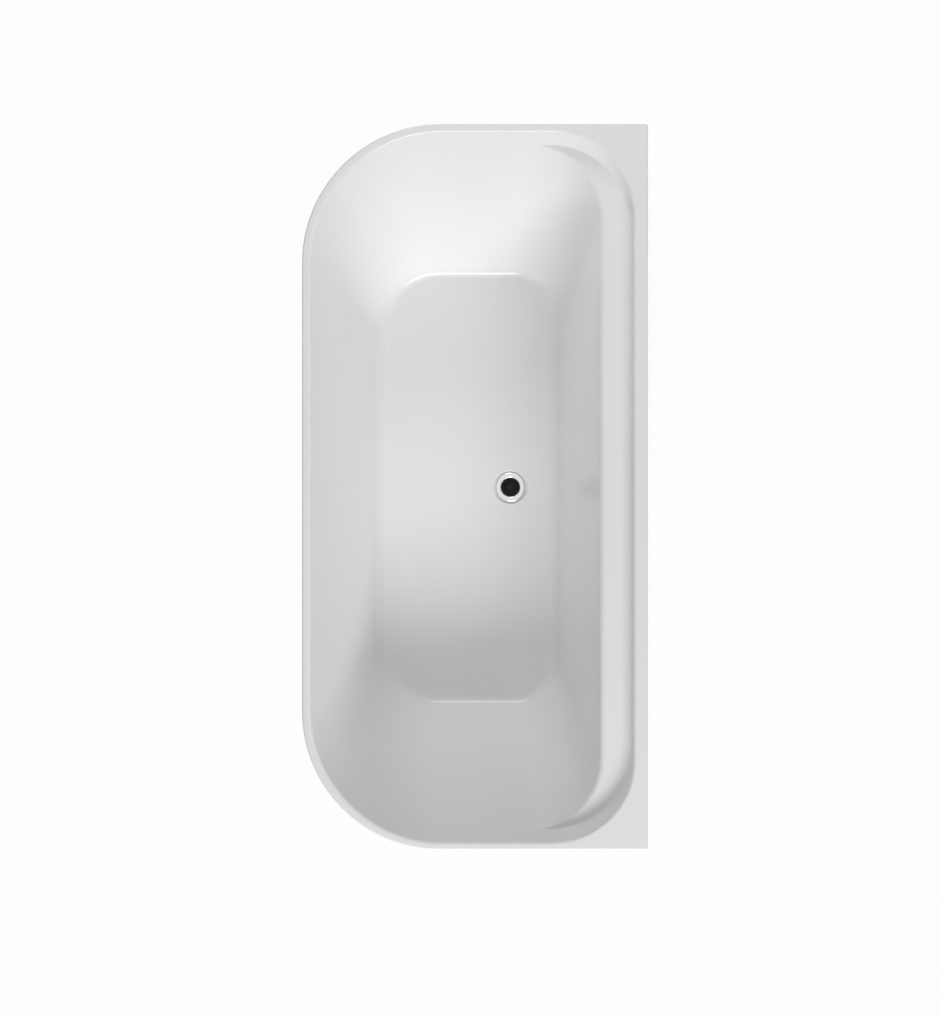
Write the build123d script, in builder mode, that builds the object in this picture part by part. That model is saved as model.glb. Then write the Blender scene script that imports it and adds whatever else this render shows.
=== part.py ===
from build123d import *
import os
from math import atan2, cos, sqrt, tan

os.makedirs("parts", exist_ok=True)

# A back-to-wall bathtub. X runs along the bath, +Y points to the wall, Z is up from the floor.

# Overall size
length = 1700
width = 810
height = 580
front_corner_radius = 325
back_corner_radius = 6
smallest_radius = 1

# Rim
rim_flat = 12
back_deck = 25
rim_thickness = 6
rim_edge_radius = 4
rim_roll = 9
lip_height = 20
lip_thickness = 5

# Basin
basin_depth = 425
end_run = 328
front_run = 160
end_fillet = 24
front_fillet = 45
back_fillet = 35
opening_back_radius = 200
floor_front_radius = 140
floor_back_radius = 97

# Shelf along the wall side
ledge_depth = 40
ledge_fall = 1.5
ledge_width = 74
upper_wall_run = 2
lower_wall_run = 103
ledge_fillet = 12
ledge_edge_radius = 15
ledge_back_corner = 190
ledge_front_corner = 170
arc_steps = 6

# Thickness of the shell, sideways and under its floor
wall_growth = 6
floor_growth = 10

# Outer skirt
skirt_thickness = 5
skirt_taper = 45
skirt_floor_gap = 5
skirt_return = 40
foot_flange = 20
foot_flange_thickness = 5

# Cradle of square tube under a stiffening board
board_thickness = 12
board_end_inset = 65
board_front_inset = 37
board_back_inset = 34
board_radius = 40
rail = 25
rail_wall = 2
rail_radius = 2.5
front_rail_inset = 20
back_rail_inset = 25
cross_rail_inset = 40
cross_rail_overhang = 45
middle_rail_x = -110
middle_rail_overhang = 18
end_cap = 3
end_cap_plug = 12
end_cap_clearance = 0.3

# Screws
screw_radius = 2.4
screw_head_radius = 5
screw_head_height = 2.6
screw_point = 2
screw_tip_radius = 0.5
screw_drive = 1.8
screw_drive_depth = 1.6
hole_clearance = 0.4
bite_clearance = 0.05
cradle_screw_bite = 8

# Angles between the cradle and the skirt
bracket_thickness = 3
bracket_bend = 4
bracket_length = 42
bracket_foot = 30
bracket_gap = 3
bracket_screw_inset = 18
bracket_screw_spacing = 16
bracket_screw_reach = 9
skirt_screw_inset = 7.5
skirt_screw_side = 19
skirt_screw_spare = 1

# Wall hangers
hanger_spacing = 900
hanger_length = 100
hanger_thickness = 3
hanger_drop = 60
hanger_gap = 0.3
hanger_joggle = 8
hanger_joggle_drop = 2
hanger_hole_spacing = 60
hanger_hole_radius = 3.5
hanger_hole_drop = 38

# Levelling feet
front_foot_inset = 72
back_foot_inset = 22
spindle_radius = 6
spindle_top_room = 8
spindle_chamfer = 1
spindle_pin_radius = 5
spindle_pin_length = 10
spindle_flats = 19
collar_height = 8
pad_radius = 27
pad_height = 8
pad_edge = 2
pad_hub_radius = 13
pad_hub_height = 20
running_clearance = 0.05
weld_nut_height = 10
lock_nut_height = 7
foot_travel = 25

# Waste
waste_inset = 108
recess_radius = 39
recess_depth = 4
outlet_radius = 25
board_hole_radius = 44
flange_radius = 35
flange_thickness = 3
flange_edge = 1
seat_radius = 23
seat_depth = 3
gasket_thickness = 1
tail_radius = 23.9
tail_bore = 20
tail_reach = 46
spider_arms = 3
spider_arm_width = 4
spider_height = 6
spider_drop = 14
spider_hub_radius = 9
under_gasket_thickness = 3
under_gasket_radius = 34
washer_thickness = 1
backnut_height = 10
backnut_radius = 31
thread_clearance = 0.1
nut_ribs = 16
rib_radius = 1.5

# Push plug
plug_gap = 0.75
plug_thickness = 3
plug_edge = 0.8
plug_seal_height = 0.8
plug_seal_width = 1.6
clicker_radius = 6
clicker_bore = 4.2
clicker_length = 34
clicker_above_hub = 1
clicker_floor = 2
clicker_neck = 3
stem_radius = 2.5
stem_collar_height = 3
stem_socket = 1.5
plug_lift = 9
lift_room = 1
spring_wire = 0.4
spring_turns = 7
spring_gap = 0.3

# Trap
trap_nut_radius = 30
trap_nut_grip = 13
trap_nut_lip = 3
trap_seal_height = 2
trap_inlet_flange = 3
trap_inlet_flange_radius = 24.5
trap_inlet_radius = 22
trap_wall = 2.5
trap_radius = 36
trap_neck = 9
trap_body_height = 58
trap_cup_drop = 20
trap_cup_grip = 10
trap_cup_seal_height = 2
dip_below_body = 10
outlet_drop = 24
outlet_bore = 18
outlet_tube_radius = 23
outlet_tube_length = 22
pipe_radius = 20
pipe_wall = 2
pipe_socket = 17
pipe_end_gap = 10
pipe_collar_radius = 22
pipe_collar_width = 3
pipe_collar_gap = 1
outlet_seal_height = 2.5
outlet_nut_radius = 28
outlet_nut_grip = 14
outlet_nut_lip = 2.5

# Worked out from the sizes above
floor_z = height - basin_depth
underside_z = floor_z - floor_growth
board_z = underside_z - board_thickness
rail_z = board_z - rail
cross_z = rail_z - rail
lip_bottom_z = height - lip_height
flange_top_z = skirt_floor_gap + foot_flange_thickness
tube_bore = rail - 2 * rail_wall

# The feet keep their heights while their travel fits under the cross rails, and shrink where it doesn't
foot_stack = pad_hub_height + collar_height + foot_travel + lock_nut_height + weld_nut_height
foot_share = min(1, cross_z / foot_stack)
pad_top = pad_height * foot_share
hub_top = pad_hub_height * foot_share
pin_z = hub_top - spindle_pin_length * foot_share
collar_top = hub_top + collar_height * foot_share
weld_nut_z = cross_z - weld_nut_height * foot_share
lock_nut_z = weld_nut_z - lock_nut_height * foot_share

# Lines along the bath, from the front to the wall
front_y = -width / 2
wall_y = width / 2
rim_front_y = front_y + rim_flat
rim_back_y = wall_y - back_deck
ledge_back_y = rim_back_y - rim_roll - upper_wall_run
ledge_front_y = ledge_back_y - ledge_width
floor_front_y = rim_front_y + rim_roll * tan(atan2(basin_depth, front_run) / 2) + front_run
floor_back_y = ledge_front_y - lower_wall_run
waste_y = floor_back_y - waste_inset
waste_place = (0, waste_y)
skirt_front_y = front_y + skirt_taper + skirt_thickness
board_front_y = floor_front_y + board_front_inset
board_back_y = floor_back_y - board_back_inset
rail_front_y = board_front_y + front_rail_inset
rail_back_y = board_back_y - back_rail_inset
cross_back_y = rail_back_y + cross_rail_overhang

# Half lengths, from the middle of the bath
rim_half = length / 2 - rim_flat
floor_half = rim_half - rim_roll * tan(atan2(basin_depth, end_run) / 2) - end_run
board_half = floor_half - board_end_inset
cross_rail_x = board_half - cross_rail_inset


def finish(builder, name):
    builder.part.label = name
    export_step(builder.part, f"parts/{name}.step")


def wall_inset(depth, run, roll, fillet):
    # How far a sloping wall stands in from the flat rim: a roll, a straight slope and a floor fillet
    slope = atan2(basin_depth, run)
    roll_reach = roll * tan(slope / 2)
    if depth < roll * (1 - cos(slope)):
        return sqrt(roll**2 - (roll - depth) ** 2)
    if depth > basin_depth - fillet * (1 - cos(slope)):
        drop = depth - (basin_depth - fillet)
        return roll_reach + run + fillet * tan(slope / 2) - sqrt(max(fillet**2 - drop**2, 0))
    return roll_reach + run * depth / basin_depth


def straight_inset(depth, run, roll):
    # The same wall without its floor fillet
    slope = atan2(basin_depth, run)
    return roll * tan(slope / 2) + run * depth / basin_depth


def disc(bottom, top, radius, place=(0, 0), mode=Mode.ADD):
    # An upright cylinder between two heights
    with Locations((*place, bottom)):
        Cylinder(radius, top - bottom, align=(Align.CENTER, Align.CENTER, Align.MIN), mode=mode)


def rod(start, direction, radius, reach, mode=Mode.ADD):
    # A cylinder from a point along a direction
    with Locations(Plane(start, z_dir=direction)):
        Cylinder(radius, reach, align=(Align.CENTER, Align.CENTER, Align.MIN), mode=mode)


def hexagon(bottom, top, flats, place=(0, 0)):
    # An upright hexagonal bar, as a solid of its own
    with BuildPart() as bar:
        with BuildSketch(Plane.XY.offset(bottom)):
            with Locations(place):
                RegularPolygon(flats / 2, 6, major_radius=False)
        extrude(amount=top - bottom)
    return bar.part


def ribs(bottom, top, radius, place=(0, 0)):
    # Grip ribs around a nut or cap
    with Locations((*place, bottom)):
        with PolarLocations(radius, nut_ribs):
            Cylinder(rib_radius, top - bottom, align=(Align.CENTER, Align.CENTER, Align.MIN))


def blend(start, end, share):
    return start + (end - start) * share


def plan_face(z, half, front, back, front_radius, back_radius):
    # A flat face at a height: a rectangle with its own radius at the front and back corners
    with BuildSketch(Plane.XY.offset(z)) as face:
        with BuildLine():
            FilletPolyline(
                (-half, front),
                (half, front),
                (half, back),
                (-half, back),
                radius=[front_radius, front_radius, back_radius, back_radius],
                close=True,
            )
        make_face()
    return face.sketch.face()


def basin_levels():
    # The back wall's profile, from the rim over the shelf to the floor, gives the heights of all sections
    upper_slope = atan2(ledge_depth, upper_wall_run)
    with BuildLine() as profile:
        FilletPolyline(
            (wall_y, height),
            (rim_back_y - rim_roll * tan(upper_slope / 2), height),
            (ledge_back_y, height - ledge_depth),
            (ledge_front_y, height - ledge_depth - ledge_fall),
            (floor_back_y, floor_z),
            (0, floor_z),
            radius=[rim_roll, ledge_fillet, ledge_edge_radius, back_fillet],
        )
    levels = []
    for arc in profile.edges().filter_by(GeomType.CIRCLE).sort_by(Axis.Y, reverse=True):
        points = [arc @ (step / arc_steps) for step in range(arc_steps + 1)]
        levels += sorted(((p.Y, p.X) for p in points), reverse=True)
    return levels


def section(z, back, sideways=0, down=0):
    # The basin's outline at one height, grown sideways and moved down for the shell's underside
    depth = height - z
    end_inset = wall_inset(depth, end_run, rim_roll, end_fillet)
    front_inset = wall_inset(depth, front_run, rim_roll, front_fillet)
    share = depth / basin_depth
    front_radius = blend(front_corner_radius - rim_flat, floor_front_radius, share)
    front_radius -= max(front_inset - straight_inset(depth, front_run, rim_roll), 0) / 2
    if back > ledge_back_y:
        up_wall = (back - ledge_back_y) / (rim_back_y - ledge_back_y)
        back_radius = blend(ledge_back_corner, opening_back_radius, up_wall)
    elif back > ledge_front_y:
        across = (back - ledge_front_y) / (ledge_back_y - ledge_front_y)
        back_radius = blend(ledge_front_corner, ledge_back_corner, across)
    else:
        down_wall = (ledge_front_y - back) / (ledge_front_y - floor_back_y)
        back_radius = blend(ledge_front_corner, floor_back_radius, down_wall)
    return plan_face(
        z - down,
        rim_half - end_inset + sideways,
        rim_front_y + front_inset - sideways,
        back + sideways,
        front_radius + sideways,
        back_radius + sideways,
    )


def rim_outline(z, inset):
    return plan_face(
        z,
        length / 2 - inset,
        front_y + inset,
        wall_y - inset,
        front_corner_radius - inset,
        max(back_corner_radius - inset, smallest_radius),
    )


def skirt_outline(z, thickness):
    # The skirt tapers in from the rim's lip at the front and the ends, and stays square to the wall
    inset = skirt_taper * (lip_bottom_z - z) / (lip_bottom_z - skirt_floor_gap) + thickness
    return plan_face(
        z,
        length / 2 - inset,
        front_y + inset,
        wall_y - thickness,
        front_corner_radius - inset,
        max(back_corner_radius - thickness, smallest_radius),
    )


def skirt_end_x(y):
    # Inner face of the skirt's end at its foot, for a place across the bath
    inset = skirt_taper + skirt_thickness
    corner_y = front_y + front_corner_radius
    corner_x = length / 2 - front_corner_radius
    if y >= corner_y:
        return length / 2 - inset
    return corner_x + sqrt((front_corner_radius - inset) ** 2 - (corner_y - y) ** 2)


# Bath shell: rim, basin and shelf in one moulding
levels = basin_levels()
with BuildPart() as bath_shell:
    loft([rim_outline(height - rim_thickness, 0), rim_outline(height, 0)], ruled=True)
    fillet(bath_shell.edges().group_by(Axis.Z)[-1], rim_edge_radius)
    loft([rim_outline(lip_bottom_z, 0), rim_outline(height - rim_thickness, 0)], ruled=True)
    loft(
        [rim_outline(lip_bottom_z, lip_thickness), rim_outline(height - rim_thickness, lip_thickness)],
        ruled=True,
        mode=Mode.SUBTRACT,
    )
    top_z, top_back = levels[0]
    outer_top = section(top_z, top_back, wall_growth, rim_thickness / 2)
    loft([outer_top] + [section(z, back, wall_growth, floor_growth) for z, back in levels], ruled=True)
    loft([section(z, back) for z, back in levels], ruled=True, mode=Mode.SUBTRACT)
    disc(floor_z - recess_depth, floor_z, recess_radius, waste_place, Mode.SUBTRACT)
    disc(underside_z, floor_z, outlet_radius, waste_place, Mode.SUBTRACT)
finish(bath_shell, "bath_shell")


# Outer skirt: open at the wall, with a turned-in foot and a narrow return at each wall edge
with BuildPart() as outer_skirt:
    loft([skirt_outline(skirt_floor_gap, 0), skirt_outline(lip_bottom_z, 0)], ruled=True)
    loft(
        [skirt_outline(flange_top_z, skirt_thickness), skirt_outline(lip_bottom_z, skirt_thickness)],
        ruled=True,
        mode=Mode.SUBTRACT,
    )
    inside_foot = skirt_thickness + foot_flange
    loft(
        [skirt_outline(skirt_floor_gap, inside_foot), skirt_outline(flange_top_z, inside_foot)],
        ruled=True,
        mode=Mode.SUBTRACT,
    )
    with BuildSketch(Plane.XZ.offset(-wall_y)):
        Polygon(
            (skirt_taper + skirt_return - length / 2, skirt_floor_gap),
            (length / 2 - skirt_taper - skirt_return, skirt_floor_gap),
            (length / 2 - skirt_return, lip_bottom_z),
            (skirt_return - length / 2, lip_bottom_z),
            align=None,
        )
    extrude(amount=inside_foot, mode=Mode.SUBTRACT)

# Stiffening board under the floor, with room around the waste
cross_rail_places = (-cross_rail_x, middle_rail_x, cross_rail_x)
crossings = [(x, y) for x in cross_rail_places for y in (rail_front_y, rail_back_y)]
with BuildPart() as base_board:
    with BuildSketch(Plane.XY.offset(board_z)):
        with Locations((0, (board_front_y + board_back_y) / 2)):
            RectangleRounded(2 * board_half, board_back_y - board_front_y, board_radius)
        with Locations(waste_place):
            Circle(board_hole_radius, mode=Mode.SUBTRACT)
    extrude(amount=board_thickness)
    for place in crossings:
        disc(board_z, board_z + cradle_screw_bite, screw_radius + bite_clearance, place, Mode.SUBTRACT)
finish(base_board, "base_board")

# Cradle tubes. The long rails end at their angles, inside the skirt
ends = {rail_front_y: skirt_end_x(rail_front_y + rail / 2) - bracket_gap}
ends[rail_back_y] = skirt_end_x(rail_back_y - rail / 2) - bracket_gap
front_end_y = skirt_front_y + bracket_gap
inward = {rail_front_y: 1, rail_back_y: -1}
bracket_screw_insets = (bracket_screw_inset, bracket_screw_inset + bracket_screw_spacing)
tube_ends = []
angle_screws = []
for name, y in (("frame_rail_front", rail_front_y), ("frame_rail_back", rail_back_y)):
    tube_end = ends[y] - end_cap
    with BuildPart() as tube:
        with BuildSketch(Plane.YZ.offset(-tube_end)):
            with Locations((y, rail_z + rail / 2)):
                RectangleRounded(rail, rail, rail_radius)
                RectangleRounded(tube_bore, tube_bore, rail_radius - rail_wall, mode=Mode.SUBTRACT)
        extrude(amount=2 * tube_end)
        for place in crossings:
            if place[1] == y:
                disc(rail_z, board_z, screw_radius + hole_clearance, place, Mode.SUBTRACT)
        for side in (-1, 1):
            tube_ends.append(Plane((side * tube_end, y, rail_z + rail / 2), z_dir=(side, 0, 0)))
            for inset in bracket_screw_insets:
                start = (side * (ends[y] - inset), y, rail_z + rail / 2)
                direction = (0, inward[y], 0)
                rod(start, direction, screw_radius + bite_clearance, rail, Mode.SUBTRACT)
                angle_screws.append((start, direction))
    finish(tube, name)

foot_lines = (front_end_y + front_foot_inset, cross_back_y - back_foot_inset)
foot_places = [(x, y) for x in (-cross_rail_x, cross_rail_x) for y in foot_lines]
foot_places.append((middle_rail_x, (rail_front_y + rail_back_y) / 2))
middle_front_y = rail_front_y - middle_rail_overhang
middle_back_y = rail_back_y + middle_rail_overhang
cross_rails = (
    ("cross_rail_left", -cross_rail_x, front_end_y + end_cap, cross_back_y, 1),
    ("cross_rail_middle", middle_rail_x, middle_front_y, middle_back_y, 0),
    ("cross_rail_right", cross_rail_x, front_end_y + end_cap, cross_back_y, -1),
)
for name, x, tube_front, tube_back, toward in cross_rails:
    with BuildPart() as tube:
        with BuildSketch(Plane.XZ.offset(-tube_front)):
            with Locations((x, cross_z + rail / 2)):
                RectangleRounded(rail, rail, rail_radius)
                RectangleRounded(tube_bore, tube_bore, rail_radius - rail_wall, mode=Mode.SUBTRACT)
        extrude(amount=tube_front - tube_back)
        for place in crossings:
            if place[0] == x:
                disc(cross_z, rail_z, screw_radius + hole_clearance, place, Mode.SUBTRACT)
        for place in foot_places:
            if place[0] == x:
                disc(cross_z, cross_z + rail / 2, spindle_radius + hole_clearance, place, Mode.SUBTRACT)
        if toward:
            for inset in bracket_screw_insets:
                start = (x, front_end_y + inset, cross_z + rail / 2)
                rod(start, (toward, 0, 0), screw_radius + bite_clearance, rail, Mode.SUBTRACT)
                angle_screws.append((start, (toward, 0, 0)))
    tube_ends.append(Plane((x, tube_front, cross_z + rail / 2), z_dir=(0, -1, 0)))
    tube_ends.append(Plane((x, tube_back, cross_z + rail / 2), z_dir=(0, 1, 0)))
    finish(tube, name)

# Plastic plugs that close the tube ends
with BuildPart() as end_cap_one:
    with BuildSketch():
        RectangleRounded(rail, rail, rail_radius)
    extrude(amount=end_cap)
    with BuildSketch():
        Rectangle(tube_bore - 2 * end_cap_clearance, tube_bore - 2 * end_cap_clearance)
    extrude(amount=-end_cap_plug)
with BuildPart() as rail_end_caps:
    with Locations(tube_ends):
        add(end_cap_one.part)
finish(rail_end_caps, "rail_end_caps")


def screw(reach):
    # A pan-head screw whose head sits on the origin and whose shank runs down
    with BuildPart() as one:
        disc(0, screw_head_height, screw_head_radius)
        fillet(one.edges().group_by(Axis.Z)[-1], screw_head_height / 2)
        disc(-reach, 0, screw_radius)
        chamfer(one.edges().group_by(Axis.Z)[0], screw_point, screw_radius - screw_tip_radius)
        drive_z = screw_head_height - screw_drive_depth
        add(hexagon(drive_z, screw_head_height, 2 * screw_drive), mode=Mode.SUBTRACT)
    return one.part


# Long screws up through each crossing into the board
with BuildPart() as cradle_screws:
    with Locations([Plane((x, y, cross_z), z_dir=(0, 0, -1)) for x, y in crossings]):
        add(screw(2 * rail + cradle_screw_bite))
finish(cradle_screws, "cradle_screws")


def angle(plane, face, toward, top, screws, foot_screw):
    # A bent steel strip: one leg against a tube, its foot on the skirt's flange
    middle = bracket_thickness / 2
    with BuildPart() as strip:
        with BuildSketch(plane):
            with BuildLine():
                FilletPolyline(
                    (face + toward * middle, top),
                    (face + toward * middle, flange_top_z + middle),
                    (face + toward * bracket_foot, flange_top_z + middle),
                    radius=bracket_bend,
                )
            trace(line_width=bracket_thickness)
        extrude(amount=bracket_length)
        for start, direction in screws:
            rod(start, direction, screw_radius + hole_clearance, rail, Mode.SUBTRACT)
        foot_hole = screw_radius + hole_clearance
        disc(skirt_floor_gap, flange_top_z + bracket_thickness, foot_hole, foot_screw, Mode.SUBTRACT)
    return strip


# Angles at the ends of the long rails and at the front of the cross rails
skirt_screw_places = []
for where, y in (("front", rail_front_y), ("back", rail_back_y)):
    face = y + inward[y] * rail / 2
    for hand, side in (("left", -1), ("right", 1)):
        start_x = -ends[y] if side < 0 else ends[y] - bracket_length
        foot_screw = (side * (ends[y] - skirt_screw_inset), face + inward[y] * skirt_screw_side)
        near = [item for item in angle_screws if item[0][1] == y and item[0][0] * side > 0]
        strip = angle(Plane.YZ.offset(start_x), face, inward[y], board_z, near, foot_screw)
        skirt_screw_places.append(foot_screw)
        finish(strip, f"skirt_bracket_{hand}_{where}")
for name, x, tube_front, tube_back, toward in cross_rails:
    if toward:
        face = x + toward * rail / 2
        foot_screw = (face + toward * skirt_screw_side, front_end_y + skirt_screw_inset)
        near = [item for item in angle_screws if item[0][0] == x]
        plane = Plane.XZ.offset(-front_end_y - bracket_length)
        strip = angle(plane, face, toward, rail_z, near, foot_screw)
        skirt_screw_places.append(foot_screw)
        finish(strip, name.replace("cross_rail", "skirt_bracket_front"))

with BuildPart() as bracket_screws:
    planes = []
    for start, direction in angle_screws:
        head = Vector(*start) + Vector(*direction) * (rail / 2 + bracket_thickness)
        planes.append(Plane(head, z_dir=direction))
    with Locations(planes):
        add(screw(bracket_screw_reach))
finish(bracket_screws, "bracket_screws")

with BuildPart() as skirt_screws:
    with Locations([(x, y, flange_top_z + bracket_thickness) for x, y in skirt_screw_places]):
        add(screw(bracket_thickness + foot_flange_thickness - skirt_screw_spare))
finish(skirt_screws, "skirt_screws")

for x, y in skirt_screw_places:
    with outer_skirt:
        disc(skirt_floor_gap, flange_top_z, screw_radius + bite_clearance, (x, y), Mode.SUBTRACT)
finish(outer_skirt, "outer_skirt")

# Wall hangers: screwed to the wall, each stands up behind the rim's back lip
for hand, side in (("left", -1), ("right", 1)):
    hook_y = wall_y - lip_thickness - hanger_gap - hanger_thickness / 2
    plate_y = wall_y - hanger_thickness / 2
    joggle_top = lip_bottom_z - hanger_joggle_drop
    with BuildPart() as hanger:
        with BuildSketch(Plane.YZ.offset(side * hanger_spacing / 2 - hanger_length / 2)):
            with BuildLine():
                Polyline(
                    (plate_y, lip_bottom_z - hanger_drop),
                    (plate_y, joggle_top - hanger_joggle),
                    (hook_y, joggle_top),
                    (hook_y, height - rim_thickness),
                )
            trace(line_width=hanger_thickness)
        extrude(amount=hanger_length)
        for hole in (-1, 1):
            hole_x = side * hanger_spacing / 2 + hole * hanger_hole_spacing / 2
            start = (hole_x, wall_y - 2 * hanger_thickness, lip_bottom_z - hanger_hole_drop)
            rod(start, (0, 1, 0), hanger_hole_radius, 3 * hanger_thickness, Mode.SUBTRACT)
    finish(hanger, f"wall_bracket_{hand}")

# Levelling feet: the pad only rises and falls, the spindle turns in it and in the weld nut
for number, place in enumerate(foot_places, 1):
    with BuildPart() as pad:
        disc(0, pad_top, pad_radius, place)
        fillet(pad.edges().group_by(Axis.Z)[-1], pad_edge * foot_share)
        disc(0, hub_top, pad_hub_radius, place)
        disc(pin_z, hub_top, spindle_pin_radius + running_clearance, place, Mode.SUBTRACT)
    finish(pad, f"foot_pad_{number}")
    spindle_top = rail_z - rail_wall - spindle_top_room
    with BuildPart() as spindle:
        disc(hub_top, spindle_top, spindle_radius, place)
        chamfer(spindle.edges().group_by(Axis.Z)[-1], spindle_chamfer)
        disc(pin_z, hub_top, spindle_pin_radius, place)
        add(hexagon(hub_top, collar_top, spindle_flats, place))
    finish(spindle, f"foot_spindle_{number}")


def nut_group(bottom, top):
    with BuildPart() as nuts:
        for place in foot_places:
            add(hexagon(bottom, top, spindle_flats, place))
            disc(bottom, top, spindle_radius + running_clearance, place, Mode.SUBTRACT)
    return nuts


finish(nut_group(weld_nut_z, cross_z), "weld_nuts")
finish(nut_group(lock_nut_z, weld_nut_z), "lock_nuts")

# Waste: a flange in the floor's recess, its threaded tail through the floor, a nut under it
recess_z = floor_z - recess_depth
flange_z = recess_z + gasket_thickness
flange_top = flange_z + flange_thickness
seat_z = flange_top - seat_depth
tail_z = underside_z - tail_reach
spider_top = flange_top - spider_drop
spider_z = spider_top - spider_height
with BuildPart() as waste_flange:
    disc(flange_z, flange_top, flange_radius, waste_place)
    fillet(waste_flange.edges().group_by(Axis.Z)[-1], flange_edge)
    disc(tail_z, flange_z, tail_radius, waste_place)
    disc(seat_z, flange_top, seat_radius, waste_place, Mode.SUBTRACT)
    seat_mouth = waste_flange.edges().group_by(Axis.Z)[-1].sort_by(SortBy.RADIUS)[0]
    chamfer(seat_mouth, flange_edge)
    disc(tail_z, seat_z, tail_bore, waste_place, Mode.SUBTRACT)
    with Locations((*waste_place, spider_z)):
        with PolarLocations(0, spider_arms):
            Box(tail_radius, spider_arm_width, spider_height, align=(Align.MIN, Align.CENTER, Align.MIN))
    disc(spider_z, spider_top, spider_hub_radius, waste_place)
    disc(spider_z, spider_top, clicker_radius + running_clearance, waste_place, Mode.SUBTRACT)
finish(waste_flange, "waste_flange")


def ring(name, bottom, top, outer, inner, ribbed=False):
    with BuildPart() as part:
        disc(bottom, top, outer, waste_place)
        if ribbed:
            ribs(bottom, top, outer, waste_place)
        disc(bottom, top, inner, waste_place, Mode.SUBTRACT)
    finish(part, name)


under_gasket_z = underside_z - under_gasket_thickness
washer_z = under_gasket_z - washer_thickness
bore = tail_radius + thread_clearance
ring("flange_gasket", recess_z, flange_z, flange_radius - flange_edge, outlet_radius)
ring("waste_gasket", under_gasket_z, underside_z, under_gasket_radius, bore)
ring("backnut_washer", washer_z, under_gasket_z, under_gasket_radius, bore)
ring("waste_backnut", washer_z - backnut_height, washer_z, backnut_radius, bore, True)

# Push plug: the cap on its stem, sprung in a small cartridge held by the flange's arms
seal_top = seat_z + plug_seal_height
plug_radius = seat_radius - plug_gap
cap_top = seal_top + plug_thickness
clicker_top = spider_top + clicker_above_hub
clicker_z = clicker_top - clicker_length
collar_z = clicker_top - clicker_neck - plug_lift - lift_room - stem_collar_height
with BuildPart() as plug_cap:
    disc(seal_top, cap_top, plug_radius, waste_place)
    fillet(plug_cap.edges().group_by(Axis.Z)[-1], plug_edge)
    disc(seal_top, seal_top + stem_socket, stem_radius, waste_place, Mode.SUBTRACT)
finish(plug_cap, "plug_cap")
ring("plug_seal", seat_z, seal_top, plug_radius, plug_radius - plug_seal_width)
with BuildPart() as plug_stem:
    disc(collar_z, seal_top + stem_socket, stem_radius, waste_place)
    disc(collar_z, collar_z + stem_collar_height, clicker_bore - running_clearance, waste_place)
finish(plug_stem, "plug_stem")
with BuildPart() as clicker_body:
    disc(clicker_z, clicker_top, clicker_radius, waste_place)
    disc(clicker_z + clicker_floor, clicker_top - clicker_neck, clicker_bore, waste_place, Mode.SUBTRACT)
    disc(clicker_z, clicker_top, stem_radius + running_clearance, waste_place, Mode.SUBTRACT)
finish(clicker_body, "clicker_body")
spring_bottom = clicker_z + clicker_floor + spring_gap + spring_wire
spring_height = collar_z - spring_gap - spring_wire - spring_bottom
spring_radius = clicker_bore - spring_gap - spring_wire
with BuildPart() as plug_spring:
    with BuildLine() as coil:
        centre = (*waste_place, spring_bottom)
        Helix(spring_height / spring_turns, spring_height, spring_radius, center=centre)
    with BuildSketch(coil.line ^ 0):
        Circle(spring_wire)
    sweep(is_frenet=True)
finish(plug_spring, "plug_spring")

# Trap: a nut on the tail, a body with a dip tube and side outlet, and a cup that unscrews for cleaning
inlet_top = tail_z - trap_seal_height
inlet_lip_z = inlet_top - trap_inlet_flange
nut_z = inlet_lip_z - trap_nut_lip
body_top = inlet_top - trap_neck
body_z = body_top - trap_body_height
cup_z = body_z - trap_cup_drop
outlet_z = body_top - outlet_drop
outlet_end_y = waste_y + trap_radius + outlet_tube_length
ring("trap_seal", inlet_top, tail_z, tail_radius, trap_inlet_radius - trap_wall)
with BuildPart() as trap_nut:
    disc(nut_z, tail_z + trap_nut_grip, trap_nut_radius, waste_place)
    ribs(nut_z, tail_z + trap_nut_grip, trap_nut_radius, waste_place)
    disc(nut_z, inlet_lip_z, trap_inlet_radius + thread_clearance, waste_place, Mode.SUBTRACT)
    disc(inlet_lip_z, tail_z, trap_inlet_flange_radius + thread_clearance, waste_place, Mode.SUBTRACT)
    disc(tail_z, tail_z + trap_nut_grip, bore, waste_place, Mode.SUBTRACT)
finish(trap_nut, "trap_nut")

outlet_start = (0, waste_y, outlet_z)
socket_start = (0, outlet_end_y - pipe_socket, outlet_z)
with BuildPart() as trap_body:
    disc(body_z, body_top, trap_radius, waste_place)
    disc(body_top, inlet_top, trap_inlet_radius, waste_place)
    disc(inlet_lip_z, inlet_top, trap_inlet_flange_radius, waste_place)
    rod(outlet_start, (0, 1, 0), outlet_tube_radius, outlet_end_y - waste_y)
    disc(body_z, body_top - trap_wall, trap_radius - trap_wall, waste_place, Mode.SUBTRACT)
    rod(outlet_start, (0, 1, 0), outlet_bore, outlet_end_y - waste_y, Mode.SUBTRACT)
    rod(socket_start, (0, 1, 0), pipe_radius + thread_clearance, pipe_socket, Mode.SUBTRACT)
    disc(body_z - dip_below_body, body_top, trap_inlet_radius, waste_place)
    disc(body_z - dip_below_body, inlet_top, trap_inlet_radius - trap_wall, waste_place, Mode.SUBTRACT)
finish(trap_body, "trap_body")

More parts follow.
